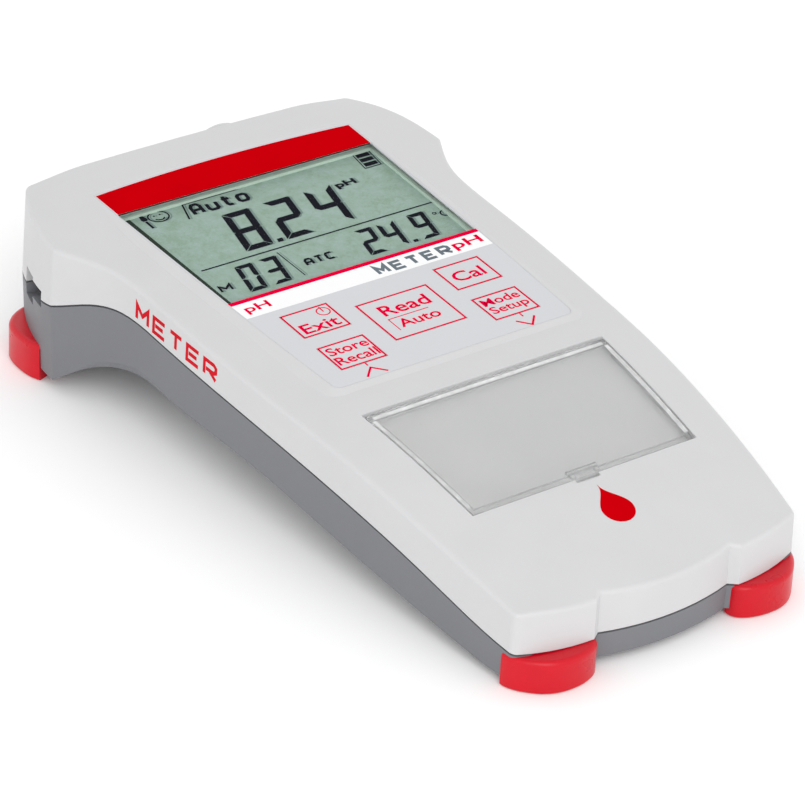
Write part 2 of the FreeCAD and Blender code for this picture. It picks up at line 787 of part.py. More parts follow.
def snap_domes():
    """Metal snap domes on the board, one under each key."""
    domes = []
    for name in KEYS:
        low, high = key_rectangle(name, 0)
        x, y = (low[0] + high[0]) / 2, (low[1] + high[1]) / 2
        ball = Part.makeSphere(6.3, Vector(x, y, -dim("board_depth") - 5.55))
        domes.append(ball.common(post(x, y, -dim("board_depth"), 0, 3.0)))
    piece("snap_domes", Part.makeCompound(domes), deck_place())


# ---------------------------------------------------------------- circuit board
def origin_plane(body, role):
    """One of a body's own origin planes."""
    return next(plane for plane in body.Origin.OriginFeatures if plane.Role == role)


def sketch_on(body, name, role="XY_Plane"):
    """Sketch on one of the body's origin planes."""
    sketch = body.newObject("Sketcher::SketchObject", name)
    sketch.AttachmentSupport = [(origin_plane(body, role), "")]
    sketch.MapMode = "FlatFace"
    return sketch


def draw_polygon(sketch, points):
    """Closed polygon in a sketch."""
    for start, end in zip(points, points[1:] + points[:1]):
        sketch.addGeometry(Part.LineSegment(Vector(*start, 0), Vector(*end, 0)), False)


BOARD_HALF_X = 34.2
BOARD_LOW_Y = -22.2
BOARD_HIGH_Y = 48.9


def main_pcb():
    """Circuit board with chamfered corners and its screw holes."""
    body = doc.addObject("PartDesign::Body", "main_pcb")
    outline = sketch_on(body, "pcb_outline")
    x, low, high, bevel = BOARD_HALF_X, BOARD_LOW_Y, BOARD_HIGH_Y, 2.0
    draw_polygon(outline, [(bevel - x, low), (x - bevel, low), (x, low + bevel), (x, high - bevel),
                           (x - bevel, high), (bevel - x, high), (-x, high - bevel), (-x, low + bevel)])
    pad = body.newObject("PartDesign::Pad", "pcb_pad")
    pad.Profile = outline
    pad.setExpression("Length", "Dims.board_thick")
    holes = sketch_on(body, "pcb_holes")
    for x, y in BOARD_SCREWS:
        holes.addGeometry(Part.Circle(Vector(x, y, 0), Vector(0, 0, 1), 1.3), False)
    doc.recompute()
    pocket = body.newObject("PartDesign::Pocket", "pcb_pocket")
    pocket.Profile = holes
    pocket.Type = "ThroughAll"
    pocket.Reversed = True
    body.Tip = pocket
    doc.recompute()
    if pocket.Shape.Volume >= pad.Shape.Volume:
        raise RuntimeError("the board's screw holes cut nothing")
    place = deck_place().multiply(at(0, 0, -dim("board_depth") - dim("board_thick")))
    finished(body, "main_pcb", place)


def board_underside():
    """Underside of the board in the deck frame."""
    return -dim("board_depth") - dim("board_thick")


def pcb_components():
    """Chips, crystal and capacitors soldered to the board's underside."""
    top = board_underside()
    chips = [(-8, 6, 12, 12, 1.4), (12, 8, 7, 5, 1.5), (14, -3, 5, 6, 1.5), (-22, 12, 6, 5, 1.5),
             (-24, -2, 4, 3, 1.1), (22, 20, 5, 4, 1.2)]
    solids = [box_between((x, y, top - tall), (x + wide, y + deep, top)) for x, y, wide, deep, tall in chips]
    for x, y in ((6.5, 3.0), (-14, -5.0), (26, 6.0)):
        solids.append(post(x, y, top - 3.6, top, 2.0))
    crystal = box_between((-14.0, 21.0, top - 2.6), (-4.0, 24.6, top))
    solids.append(crystal.makeFillet(1.6, [edge for edge in crystal.Edges if abs(edge.Length - 2.6) < 0.01]))
    piece("pcb_components", Part.makeCompound(solids), deck_place())


def shield_can():
    """Screening can over the electrode amplifier, open towards the board."""
    top = board_underside()
    can = box_between((0.5, 29.5, top - 3.2), (17.5, 42.5, top))
    can = can.makeFillet(1.0, [edge for edge in can.Edges if abs(edge.Length - 3.2) < 0.01])
    piece("shield_can", can.cut(box_between((0.8, 29.8, top - 2.9), (17.2, 42.2, top))), deck_place())


def pcb_screws():
    """Self-tapping screws that hold the board to the roof's bosses."""
    top = board_underside()
    screws = []
    for x, y in BOARD_SCREWS:
        head = post(x, y, top - 1.3, top, 1.9)
        slot = box_between((x - 1.3, y - 0.25, top - 1.4), (x + 1.3, y + 0.25, top - 0.8))
        across = box_between((x - 0.25, y - 1.3, top - 1.4), (x + 0.25, y + 1.3, top - 0.8))
        screws.append(head.fuse(post(x, y, top - 0.5, -3.0, 0.9)).cut([slot, across]))
    piece("pcb_screws", Part.makeCompound(screws), deck_place())


# ---------------------------------------------------------------- sockets
def rear_inner_y():
    """Inner face of the rear wall at the sockets' height."""
    return REAR_ARC - dim("wall") - 0.75


THREAD_DEPTH = 0.35
BNC_COLLAR = 3.6         # plain end in front of the bayonet lugs
RCA_COLLAR = 4.3         # plain end in front of the nut


def bnc_socket():
    """Coaxial electrode socket: shell with bayonet lugs, insulator, centre contact, washer and nut."""
    x, z, radius = dim("bnc_x"), dim("socket_z"), dim("bnc_barrel_r")
    face, mouth = socket_face_y(), socket_face_y() + dim("bnc_reach")
    inner = rear_inner_y()
    thread = radius - THREAD_DEPTH
    collar = mouth - BNC_COLLAR
    shell = barrel(x, z, inner - 6.0, inner, 5.4).fuse([barrel(x, z, inner - 1.6, inner, 6.6),
                                                       barrel(x, z, inner - 1.0, collar, thread),
                                                       barrel(x, z, collar, mouth, radius)])
    lug = post(x, mouth - 4.8, z - radius - 1.0, z + radius + 1.0, 0.95)
    shell = shell.fuse(lug)
    shell = shell.cut([barrel(x, z, mouth - 6.2, mouth + 1, 4.05), barrel(x, z, inner - 7, mouth, 2.4)])
    rim = [edge for edge in shell.Edges if edge.BoundBox.YMin > mouth - 0.01]
    piece("bnc_shell", shell.makeChamfer(0.2, rim))
    insulator = barrel(x, z, inner - 6.0, mouth - 1.4, 2.4).cut(barrel(x, z, inner - 7, mouth, 0.7))
    piece("bnc_insulator", insulator)
    contact = barrel(x, z, inner - 8.2, mouth - 1.6, 0.7).cut(barrel(x, z, mouth - 5.2, mouth, 0.42))
    piece("bnc_contact", contact)
    piece("bnc_washer", barrel(x, z, face, face + 0.6, 6.8).cut(barrel(x, z, face - 1, face + 1, thread)))
    nut = hexagon(x, z, face + 0.6, face + 1.8, 12.4).common(barrel(x, z, face, face + 3, 6.9))
    piece("bnc_nut", nut.cut(barrel(x, z, face, face + 3, thread)))


def rca_socket():
    """Temperature-probe socket: shell, insulator, centre contact and nut."""
    x, z, radius = dim("rca_x"), dim("socket_z"), dim("rca_barrel_r")
    face, mouth = socket_face_y(), socket_face_y() + dim("rca_reach")
    inner = rear_inner_y()
    thread = radius - THREAD_DEPTH
    collar = mouth - RCA_COLLAR
    shell = barrel(x, z, inner - 1.4, inner, 6.0).fuse([barrel(x, z, inner - 1.0, collar, thread),
                                                       barrel(x, z, collar, mouth, radius)])
    shell = shell.cut(barrel(x, z, inner - 2, mouth + 1, 3.3))
    rim = [edge for edge in shell.Edges if edge.BoundBox.YMin > mouth - 0.01]
    piece("rca_shell", shell.makeChamfer(0.2, rim))
    insulator = barrel(x, z, inner - 4.0, mouth - 0.6, 3.3).cut(barrel(x, z, inner - 5, mouth + 1, 1.9))
    piece("rca_insulator", insulator)
    contact = barrel(x, z, inner - 6.0, mouth - 1.0, 1.9).cut(barrel(x, z, mouth - 9.0, mouth, 1.6))
    piece("rca_contact", contact)
    nut = hexagon(x, z, face, face + 2.0, 10.8)
    piece("rca_nut", nut.cut(barrel(x, z, face - 1, face + 3, thread)))


# ---------------------------------------------------------------- battery bay
def cell_lanes():
    """Lane x and which way each cell's button points."""
    return [((lane - 1.5) * dim("cell_pitch"), 1 if lane % 2 else -1) for lane in range(4)]


def battery_cells():
    """Four cylindrical cells, lying in turn button-first and base-first."""
    reach = dim("bay_length") / 2 - 0.45
    for number, (x, way) in enumerate(cell_lanes(), start=1):
        label = "battery_cell_%d" % number
        can = part_object("Cylinder", label + "_can", at(0, 0, 0, *ALONG_Y), Radius="Dims.cell_r",
                          Height="Dims.cell_length")
        button = part_object("Cylinder", label + "_button", at(0, dim("cell_length") - 0.5, 0, *ALONG_Y),
                             Radius="1.9", Height="1.6")
        turn = at(x, way * (reach - dim("cell_length") - 1.1), dim("door_thick") + 0.3 + dim("cell_r"),
                  None, 0.0 if way > 0 else 180.0)
        fused(label, [can, button], bay_place().multiply(turn))


SPRING_WIDTH = 3.4
SPRING_STRIP = 0.3


def battery_springs():
    """Bowed leaf springs behind the cells' bases."""
    springs = []
    lift = dim("door_thick") + 0.3 + dim("cell_r")
    start = dim("bay_length") / 2 - 0.45
    bow = 2 * start - dim("cell_length") - 1.1 - 0.1
    for x, way in cell_lanes():
        low = x - SPRING_WIDTH / 2
        outer = Part.makeCylinder(bow, SPRING_WIDTH, Vector(low, 0, 0), Vector(1, 0, 0))
        inner = Part.makeCylinder(bow - SPRING_STRIP, SPRING_WIDTH, Vector(low, 0, 0), Vector(1, 0, 0))
        half = box_between((low - 1, min(0, way * 9), -9), (low + SPRING_WIDTH + 1, max(0, way * 9), 9))
        leaf = outer.cut(inner).common(half)
        leaf.translate(Vector(0, -way * start, lift))
        springs.append(leaf)
    piece("battery_springs", Part.makeCompound(springs), bay_place())


def battery_contacts():
    """Contact plates at both ends of the bay; the outer rear ones have tabs that reach the board."""
    half = dim("bay_length") / 2
    plates = []
    for x, way in cell_lanes():
        for end in (-1, 1):
            plate = box_between((x - 4.4, min(end * half, end * (half - 0.4)), 3.0),
                                (x + 4.4, max(end * half, end * (half - 0.4)), dim("bay_height") - 0.02))
            outer_lane = abs(x) > dim("cell_pitch")
            if end > 0 and outer_lane:
                side = 1 if x > 0 else -1
                tab_x = side * 1.5 * dim("cell_pitch")
                tab = box_between((tab_x - 1.25, half - 0.4, 12.05), (tab_x + 1.25, half + 2.4, 12.28))
                plate = plate.fuse(tab)
            plates.append(plate)
    piece("battery_contacts", Part.makeCompound(plates), bay_place())


def battery_door():
    """Cover of the battery bay, with two tongues in front, a latch behind and a thumb recess."""
    body = doc.addObject("PartDesign::Body", "battery_door")
    half_x = dim("bay_half_x") + dim("door_ledge") - 0.2
    half_y = dim("bay_length") / 2 + dim("door_ledge") - 0.2
    outline = sketch_on(body, "door_outline")
    draw_polygon(outline, [(-half_x, -half_y), (half_x, -half_y), (half_x, half_y), (-half_x, half_y)])
    plate = body.newObject("PartDesign::Pad", "door_plate")
    plate.Profile = outline
    plate.setExpression("Length", "Dims.door_thick")
    tabs = sketch_on(body, "door_tabs")
    inner_y = dim("bay_length") / 2 - 0.7
    for x in (-dim("cell_pitch"), dim("cell_pitch")):
        draw_polygon(tabs, [(x - 0.8, -inner_y), (x + 0.8, -inner_y), (x + 0.8, 1.6 - inner_y),
                            (x - 0.8, 1.6 - inner_y)])
    draw_polygon(tabs, [(-0.8, inner_y - 1.2), (0.8, inner_y - 1.2), (0.8, inner_y), (-0.8, inner_y)])
    tongue = body.newObject("PartDesign::Pad", "door_tongues")
    tongue.Profile = tabs
    tongue.setExpression("Length", "Dims.door_thick + 2.6")
    recess = sketch_on(body, "door_recess")
    recess.addGeometry(Part.Circle(Vector(0, half_y - 8, 0), Vector(0, 0, 1), 5.0), False)
    doc.recompute()
    pocket = body.newObject("PartDesign::Pocket", "door_thumb_recess")
    pocket.Profile = recess
    pocket.setExpression("Length", "Dims.door_thick / 2")
    pocket.Reversed = True
    body.Tip = pocket
    doc.recompute()
    if pocket.Shape.Volume >= tongue.Shape.Volume:
        raise RuntimeError("the door's thumb recess cuts nothing")
    finished(body, "battery_door", bay_place())


# ---------------------------------------------------------------- note cover
def note_cover():
    """Clear convex cover with a rib round its underside, a finger tab and hinge pins."""
    axis = hinge_axis()
    gap = dim("note_gap")
    thick = dim("note_cover_thick")
    lip = axis.y + 0.6
    front = prism([(-60, -90), (60, -90), (60, lip), (-60, lip)], 0, 60)
    skin = below_roof(0.05).cut(below_roof(0.05 + thick))
    plate = prism(note_corners(-gap), 10, 40).common(skin).common(front)
    rib_front = prism([(-60, -90), (60, -90), (60, axis.y - 3), (-60, axis.y - 3)], 0, 60)
    rib = prism(note_corners(-gap), 10, 40).cut(prism(note_corners(-gap - 0.8), 5, 45)).common(rib_front)
    rib = rib.common(below_roof(thick)).cut(below_roof(dim("note_depth") - 0.35))
    near = dim("note_near_y")
    tab = prism([(-3.4, near + 1.9), (3.4, near + 1.9), (3.0, near + gap), (-3.0, near + gap)], 10, 40)
    tab = tab.common(below_roof(-0.45)).cut(below_roof(0.6))
    notch = prism([(-2.2, near + 1.0), (2.2, near + 1.0), (2.2, near - 2), (-2.2, near - 2)], 10, 40)
    tab = tab.cut(notch.cut(below_roof(0.05)))
    reach = dim("note_far_x") - gap
    knuckle = Part.makeCylinder(0.6, 2 * reach, Vector(-reach, axis.y, axis.z), Vector(1, 0, 0))
    bead = prism(note_corners(-gap - 1.0), 10, 40).cut(prism(note_corners(-gap - 1.25), 5, 45))
    bead = bead.common(rib_front).cut(below_roof(0.2))
    piece("note_cover", plate.fuse([rib, tab, knuckle, hinge_pins(0.5, 0.8)]).cut(bead))


def note_card():
    """Paper card on the floor of the note pocket."""
    depth = dim("note_depth")
    sheet = below_roof(depth - 0.25).cut(below_roof(depth))
    piece("note_card", prism(note_corners(-1.3), 5, 40).common(sheet))


# ---------------------------------------------------------------- case screws
def case_screws():
    """Screws from the underside into the roof's bosses."""
    radius, tall = dim("screw_head_r"), dim("screw_head")
    screws = []
    for x, y, seat, tip in CASE_SCREWS:
        head = post(x, y, seat - tall, seat, radius)
        low = seat - tall
        slots = [box_between((x - long_x, y - long_y, low - 0.1), (x + long_x, y + long_y, low + 1.0))
                 for long_x, long_y in ((1.7, 0.3), (0.3, 1.7))]
        screws.append(head.fuse(post(x, y, seat - 0.5, tip, dim("screw_shank_r"))).cut(slots))
    piece("case_screws", Part.makeCompound(screws))


# ---------------------------------------------------------------- build and export
def single(shape):
    """A compound that holds one solid, as that solid."""
    return shape.Solids[0] if len(shape.Solids) == 1 else shape


def build():
    """Make every sub-part."""
    piece("top_shell", single(top_shell()))
    piece("bottom_shell", single(bottom_shell()))
    piece("case_gasket", case_gasket())
    for name, shape in feet().items():
        piece(name, shape)
    keypad_overlay()
    display_window()
    lcd_frame()
    lcd_panel()
    lcd_connectors()
    for name in KEYS:
        key(name)
    snap_domes()
    main_pcb()
    pcb_components()
    shield_can()
    pcb_screws()
    bnc_socket()
    rca_socket()
    battery_cells()
    battery_springs()
    battery_contacts()
    battery_door()
    note_cover()
    note_card()
    case_screws()


def export():
    """Check every object and write one file per sub-part."""
    doc.recompute()
    for made in doc.Objects:
        if "Invalid" in made.State or "Error" in made.State:
            raise RuntimeError("failed object: " + made.Label)
    os.makedirs("parts", exist_ok=True)
    for made in PIECES:
        shape = made.Shape
        if shape.isNull() or not shape.isValid() or not shape.Solids:
            raise RuntimeError("bad shape: " + made.Label)
        shape.exportStep(os.path.join("parts", made.Label + ".step"))
        print("%-20s solids %2d  volume %10.2f" % (made.Label, len(shape.Solids), shape.Volume))


build()
export()
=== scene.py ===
import json
import math

import bmesh
import bpy
import numpy as np
from mathutils import Matrix, Vector
from mathutils.bvhtree import BVHTree


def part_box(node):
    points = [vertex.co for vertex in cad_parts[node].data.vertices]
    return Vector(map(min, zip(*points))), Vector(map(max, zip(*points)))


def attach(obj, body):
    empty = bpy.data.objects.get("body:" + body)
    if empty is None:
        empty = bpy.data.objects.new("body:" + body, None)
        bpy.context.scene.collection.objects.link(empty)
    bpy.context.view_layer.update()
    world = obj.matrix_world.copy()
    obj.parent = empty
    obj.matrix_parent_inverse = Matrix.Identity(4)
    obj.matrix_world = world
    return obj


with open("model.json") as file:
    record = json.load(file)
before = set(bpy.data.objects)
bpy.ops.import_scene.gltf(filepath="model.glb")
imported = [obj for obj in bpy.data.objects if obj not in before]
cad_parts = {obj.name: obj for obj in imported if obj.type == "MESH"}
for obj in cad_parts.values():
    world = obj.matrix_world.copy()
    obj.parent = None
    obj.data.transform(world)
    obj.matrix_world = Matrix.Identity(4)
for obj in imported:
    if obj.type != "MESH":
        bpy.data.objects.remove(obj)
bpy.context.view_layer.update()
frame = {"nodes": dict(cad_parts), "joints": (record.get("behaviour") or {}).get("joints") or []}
NODES = frame["nodes"]
MM = 0.001

# The noise textures run from 0 to 1 but seldom leave the middle, so colour and gloss change within it.
COLOUR_FROM, COLOUR_TO = 0.35, 0.65
GLOSS_FROM, GLOSS_TO = 0.3, 0.7
GRAIN_SHARE = 0.25            # how much of the colour follows the fine grain

bpy.context.scene.view_settings.view_transform = "Standard"


# ---------------------------------------------------------------- materials

def linear(rgb):
    """Scene-linear colour of a display colour given as 0-255 numbers."""
    return [(c / 255 / 12.92) if c <= 10 else ((c / 255 + 0.055) / 1.055) ** 2.4 for c in rgb]


def finish(name, rgb, rough=0.5, mottle=0.03, grain=0.4, relief=0.006, cloud=9.0,
           metallic=0.0, specular=0.5, alpha=1.0, transmission=0.0, ior=1.46, tint=None):
    """A moulded, printed or plated surface: grain is the relief's size and relief its depth, in
    millimetres; cloud is the size of the slow change in colour and gloss, and mottle and tint its colour."""
    material = bpy.data.materials.new(name)
    material.use_nodes = True
    tree = material.node_tree
    shader = tree.nodes["Principled BSDF"]
    shader.inputs["Metallic"].default_value = metallic
    shader.inputs["Specular IOR Level"].default_value = specular
    shader.inputs["IOR"].default_value = ior
    shader.inputs["Alpha"].default_value = alpha
    shader.inputs["Transmission Weight"].default_value = transmission
    place = tree.nodes.new("ShaderNodeTexCoord")

    def noise(size_mm, detail):
        node = tree.nodes.new("ShaderNodeTexNoise")
        node.inputs["Scale"].default_value = 1.0 / (size_mm * MM)
        node.inputs["Detail"].default_value = detail
        node.inputs["Roughness"].default_value = 0.55
        tree.links.new(place.outputs["Object"], node.inputs["Vector"])
        return node

    slow, fine = noise(cloud, 3), noise(grain, 2)
    base = linear(rgb)
    other = linear(tint) if tint else [min(1.0, c * (1 + mottle)) for c in base]
    darker = [c * (1 - mottle) for c in base]
    ramp = tree.nodes.new("ShaderNodeValToRGB")
    ramp.color_ramp.elements[0].position = COLOUR_FROM
    ramp.color_ramp.elements[0].color = (*darker, 1)
    ramp.color_ramp.elements[1].position = COLOUR_TO
    ramp.color_ramp.elements[1].color = (*other, 1)
    speckle = tree.nodes.new("ShaderNodeMix")
    speckle.data_type = "FLOAT"
    speckle.inputs[0].default_value = GRAIN_SHARE
    tree.links.new(slow.outputs["Fac"], speckle.inputs[2])
    tree.links.new(fine.outputs["Fac"], speckle.inputs[3])
    tree.links.new(speckle.outputs[0], ramp.inputs["Fac"])
    tree.links.new(ramp.outputs["Color"], shader.inputs["Base Color"])
    spread = tree.nodes.new("ShaderNodeMapRange")
    spread.inputs["From Min"].default_value = GLOSS_FROM
    spread.inputs["From Max"].default_value = GLOSS_TO
    spread.inputs["To Min"].default_value = max(0.02, rough * 0.85)
    spread.inputs["To Max"].default_value = min(1.0, rough * 1.15)
    tree.links.new(slow.outputs["Fac"], spread.inputs["Value"])
    tree.links.new(spread.outputs["Result"], shader.inputs["Roughness"])
    bump = tree.nodes.new("ShaderNodeBump")
    bump.inputs["Strength"].default_value = 1.0
    bump.inputs["Distance"].default_value = relief * MM
    tree.links.new(fine.outputs["Fac"], bump.inputs["Height"])
    tree.links.new(bump.outputs["Normal"], shader.inputs["Normal"])
    return material


def metal(name, rgb, rough, mottle, grain, relief):
    return finish(name, rgb, rough=rough, mottle=mottle, grain=grain, relief=relief, metallic=1.0)


def ink(name, rgb, mottle, grain=0.2):
    return finish(name, rgb, rough=0.6, mottle=mottle, grain=grain, relief=0.001, specular=0.0)


SHELL = finish("moulded_white", (197, 197, 198), rough=0.42, mottle=0.012, grain=0.35, relief=0.004)
BASE = finish("moulded_grey", (114, 115, 119), rough=0.5, mottle=0.025, grain=0.45, relief=0.006)
GASKET = finish("rubber_gasket", (80, 81, 85), rough=0.75, mottle=0.05, grain=0.2, relief=0.004)
BUMPER = finish("rubber_red", (196, 4, 28), rough=0.3, mottle=0.05, grain=0.5, relief=0.006,
                specular=0.35)
FILM = finish("film_grey", (199, 200, 203), rough=0.55, mottle=0.01, grain=0.25, relief=0.002,
              specular=0.3)
CLEAR = finish("clear_window", (246, 250, 248), rough=0.04, mottle=0.01, grain=2.0, relief=0.001,
               alpha=0.006)
COVER = finish("clear_acrylic", (250, 251, 251), rough=0.03, mottle=0.005, grain=3.0, relief=0.001,
               transmission=0.9, ior=1.45, alpha=0.7)
FROST = finish("frosted_acrylic", (226, 227, 227), rough=0.25, mottle=0.05, grain=0.7, relief=0.08,
               cloud=2.0, alpha=0.62, tint=(252, 252, 252))
BEZEL = finish("bezel_green", (186, 206, 192), rough=0.6, mottle=0.06, grain=0.3, relief=0.004,
               specular=0.3)
LCD = finish("display_green", (136, 160, 143), rough=0.5, mottle=0.05, grain=0.6, relief=0.002,
             cloud=2.4, specular=0.05, tint=(148, 169, 162))
CONNECTOR = finish("zebra_strip", (196, 60, 80), rough=0.6, mottle=0.1, grain=0.3, relief=0.004)
SPRING = metal("spring_steel", (176, 178, 182), rough=0.25, mottle=0.05, grain=0.15, relief=0.002)
BOARD = finish("solder_mask_green", (28, 96, 58), rough=0.35, mottle=0.12, grain=0.5, relief=0.006)
CHIP = finish("chip_black", (30, 30, 33), rough=0.55, mottle=0.1, grain=0.2, relief=0.004)
TINNED = metal("tinned_steel", (188, 190, 192), rough=0.32, mottle=0.05, grain=0.3, relief=0.003)
SCREW = metal("screw_zinc", (150, 152, 156), rough=0.3, mottle=0.08, grain=0.15, relief=0.003)
NICKEL = metal("nickel_plate", (190, 186, 178), rough=0.22, mottle=0.06, grain=0.3, relief=0.002)
GOLD = metal("gold_plate", (226, 178, 92), rough=0.24, mottle=0.05, grain=0.2, relief=0.002)
PTFE = finish("insulator_white", (226, 224, 216), rough=0.45, mottle=0.03, grain=0.3, relief=0.003)
NYLON = finish("insulator_black", (32, 32, 35), rough=0.5, mottle=0.08, grain=0.3, relief=0.003)
WRAP = finish("cell_wrap", (44, 74, 122), rough=0.3, mottle=0.15, grain=0.4, relief=0.002, cloud=4.0)
CARD = finish("card_white", (212, 212, 211), rough=0.8, mottle=0.02, grain=0.15, relief=0.003,
              specular=0.2)
PRINT_RED = ink("print_red", (190, 0, 10), mottle=0.03)
PRINT_CRIMSON = ink("print_crimson", (220, 0, 56), mottle=0.04)
PRINT_SIDE = ink("print_side_red", (196, 34, 44), mottle=0.05)
PRINT_WHITE = finish("print_white", (236, 236, 237), rough=0.5, mottle=0.01, grain=0.25, relief=0.001)
PRINT_GREY = ink("print_grey", (104, 114, 122), mottle=0.05)
SEGMENT = ink("segment_black", (8, 8, 22), mottle=0.2, grain=0.4)
# painted shadow: a darker green copy of the figures, standing for the shadow they cast on the panel
SEGMENT_PAINTED_SHADOW = ink("segment_painted_shadow", (112, 132, 126), mottle=0.08, grain=0.5)
# painted shade: dark green for the strips along the display window's left and far edges, where the well's
# edges are in shade
EDGE_PAINTED_SHADE = finish("display_edge_painted_shade", (38, 52, 42), rough=0.6, mottle=0.1, grain=0.3, relief=0.001,
                specular=0.02)


BY_NODE = {
    "top_shell": SHELL, "bottom_shell": BASE, "case_gasket": GASKET,
    "foot_front_right": BUMPER, "foot_front_left": BUMPER,
    "foot_rear_right": BUMPER, "foot_rear_left": BUMPER,
    "keypad_overlay": FILM, "key_exit": FILM, "key_store": FILM, "key_read": FILM, "key_cal": FILM,
    "key_mode": FILM, "display_window": CLEAR, "lcd_frame": BEZEL, "lcd_panel": LCD,
    "lcd_connectors": CONNECTOR, "snap_domes": SPRING, "main_pcb": BOARD, "pcb_components": CHIP,
    "shield_can": TINNED, "pcb_screws": SCREW, "bnc_shell": NICKEL, "bnc_insulator": PTFE,
    "bnc_contact": GOLD, "bnc_washer": NICKEL, "bnc_nut": NICKEL,
    "rca_shell": NICKEL, "rca_insulator": NYLON, "rca_contact": GOLD,
    "rca_nut": NICKEL, "battery_cell_1": WRAP, "battery_cell_2": WRAP, "battery_cell_3": WRAP,
    "battery_cell_4": WRAP, "battery_springs": SPRING, "battery_contacts": NICKEL, "battery_door": BASE,
    "note_cover": COVER, "note_card": CARD, "case_screws": SCREW,
}
for node, material in BY_NODE.items():
    mesh = NODES[node].data
    mesh.materials.clear()
    mesh.materials.append(material)


# ---------------------------------------------------------------- printed graphics

press = next(j for j in frame["joints"] if j["name"] == "key_read_press")
UP = -Vector(press["axis"]).normalized()
ACROSS = Vector((1, 0, 0))
AHEAD = UP.cross(ACROSS).normalized()


def heights(node):
    """Highest point of a node along the deck's normal, and its nearest point along the deck."""
    co = np.array([v.co for v in NODES[node].data.vertices])
    return (co @ np.array(UP)).max(), (co @ np.array(AHEAD)).min()


KEYPAD_LENGTH = 26.316        # from the overlay's near edge to the white band, where y along the deck is 0
DECK_TOP, DECK_NEAR = heights("keypad_overlay")
DECK_NEAR += KEYPAD_LENGTH * MM
PANEL_TOP = heights("lcd_panel")[0]


def on_deck(x, y, level):
    """A point x across and y along the deck, in millimetres, at a level along its normal, in metres."""
    return ACROSS * (x * MM) + AHEAD * (DECK_NEAR + y * MM) + UP * level


SHARPEST_MITRE = 0.35         # cosine that limits how far a mitre reaches


def ribbon(points, width, closed=False):
    """Left and right edges of a line of that width, mitred at its corners."""
    pts = [Vector(p) for p in points]
    count = len(pts)
    left, right = [], []
    for i, p in enumerate(pts):
        before = pts[i - 1] if closed or i > 0 else None
        after = pts[(i + 1) % count] if closed or i < count - 1 else None
        ways = [(b - a).normalized() for a, b in ((before, p), (p, after))
                if a is not None and b is not None]
        normals = [Vector((-w.y, w.x)) for w in ways]
        mid = sum(normals, Vector((0, 0))).normalized()
        reach = width / 2 / max(SHARPEST_MITRE, mid.dot(normals[0]))
        left.append(p + mid * reach)
        right.append(p - mid * reach)
    return left, right


# Letters as lines in a box one wide and one high.
LETTERS = {
    "A": [[(0, 0), (0, 0.75), (0.25, 1), (0.75, 1), (1, 0.75), (1, 0)], [(0.12, 0.42), (0.88, 0.42)]],
    "C": [[(1, 1), (0.2, 1), (0, 0.8), (0, 0.2), (0.2, 0), (1, 0)]],
    "E": [[(1, 1), (0, 1), (0, 0), (1, 0)], [(0.15, 0.5), (0.85, 0.5)]],
    "M": [[(0, 0), (0, 1), (0.5, 0.4), (1, 1), (1, 0)]],
    "R": [[(0, 0), (0, 1), (0.8, 1), (1, 0.85), (1, 0.55), (0.8, 0.42), (0.15, 0.42)],
          [(0.5, 0.36), (1, 0)]],
    "T": [[(0, 1), (1, 1)], [(0.5, 0.9), (0.5, 0)]],
    "u": [[(0, 0.7), (0, 0.15), (0.2, 0), (0.8, 0), (1, 0.15)], [(1, 0.7), (1, 0)]],
    "t": [[(0.35, 1), (0.35, 0.15), (0.5, 0), (0.9, 0)], [(0.05, 0.7), (0.85, 0.7)]],
    "o": [[(0.5, 0.7), (0.2, 0.7), (0, 0.55), (0, 0.15), (0.2, 0), (0.8, 0), (1, 0.15), (1, 0.55),
           (0.8, 0.7), (0.5, 0.7)]],
}


INK_SINK = 0.004              # how far ink starts below the surface that it is on
LETTER_SHARE = 0.8            # a line letter's width against its step


